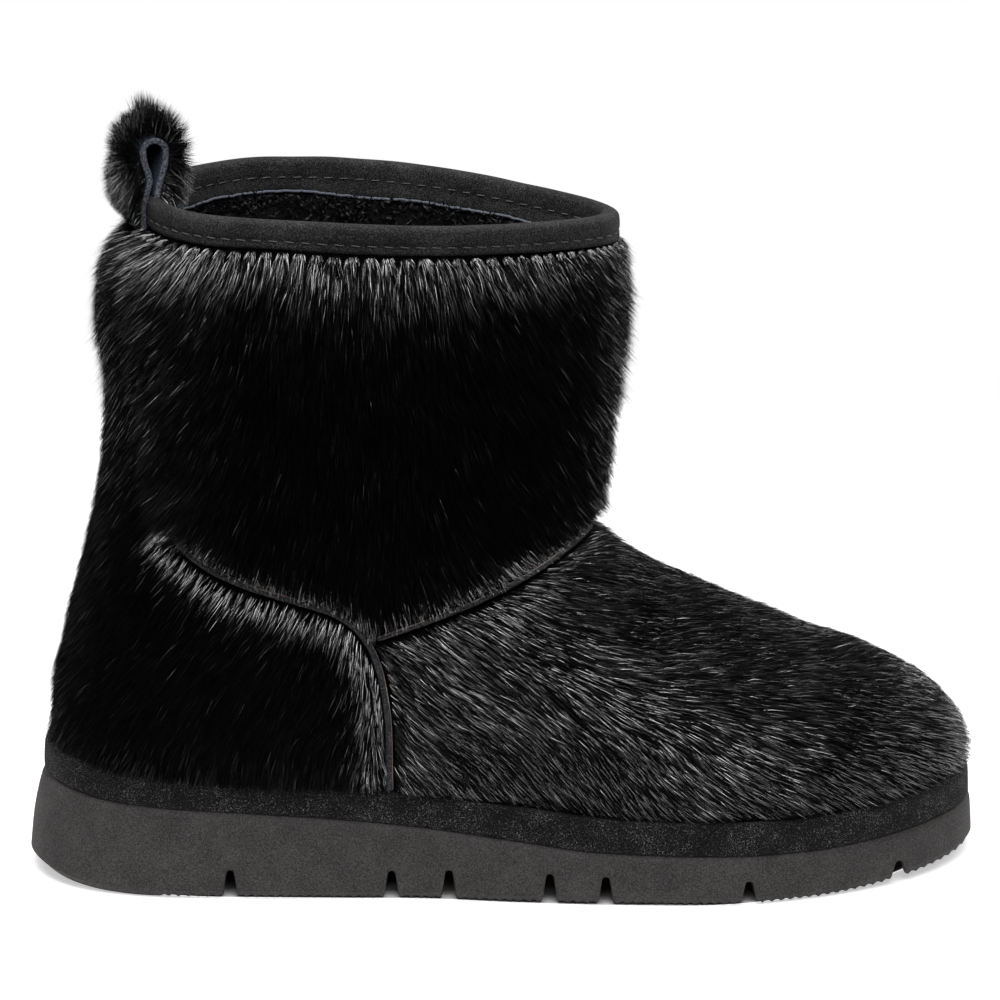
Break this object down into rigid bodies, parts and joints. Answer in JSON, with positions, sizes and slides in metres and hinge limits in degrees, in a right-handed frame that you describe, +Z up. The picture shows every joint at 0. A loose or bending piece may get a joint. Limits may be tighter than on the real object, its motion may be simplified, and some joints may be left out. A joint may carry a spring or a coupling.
{
  "type": "fur ankle boot",
  "caption": "Pull-on fur ankle boot with a grooved wedge sole, bound collar, piped counter and vamp seams and a furry pull loop.",
  "frame": {"origin": "on the floor, under the middle of the boot's box in X and Y", "axes": "+X from heel to toe, -Y to the outer (lateral) side, +Z up"},
  "size_m": [0.2794, 0.1009, 0.2261],
  "materials": {
    "outsole_rubber": "matt foam rubber, brownish grey, with a fine ribbed tread",
    "strip_suede": "black suede, finely speckled",
    "fleece": "curly black fleece",
    "fur": "short glossy black fur on hide",
    "piping_leather": "grey-black leather strip with a pale raw edge",
    "binding_leather": "matt black nubuck with grey stitching"
  },
  "bodies": {
    "root": {"outsole": "outsole_rubber", "midsole": "strip_suede", "insole": "fleece", "upper": "fur", "counter_piping_lateral": "piping_leather", "counter_piping_medial": "piping_leather", "vamp_piping": "piping_leather", "collar_binding": "binding_leather", "pull_loop": "fur"}
  },
  "joints": []
}
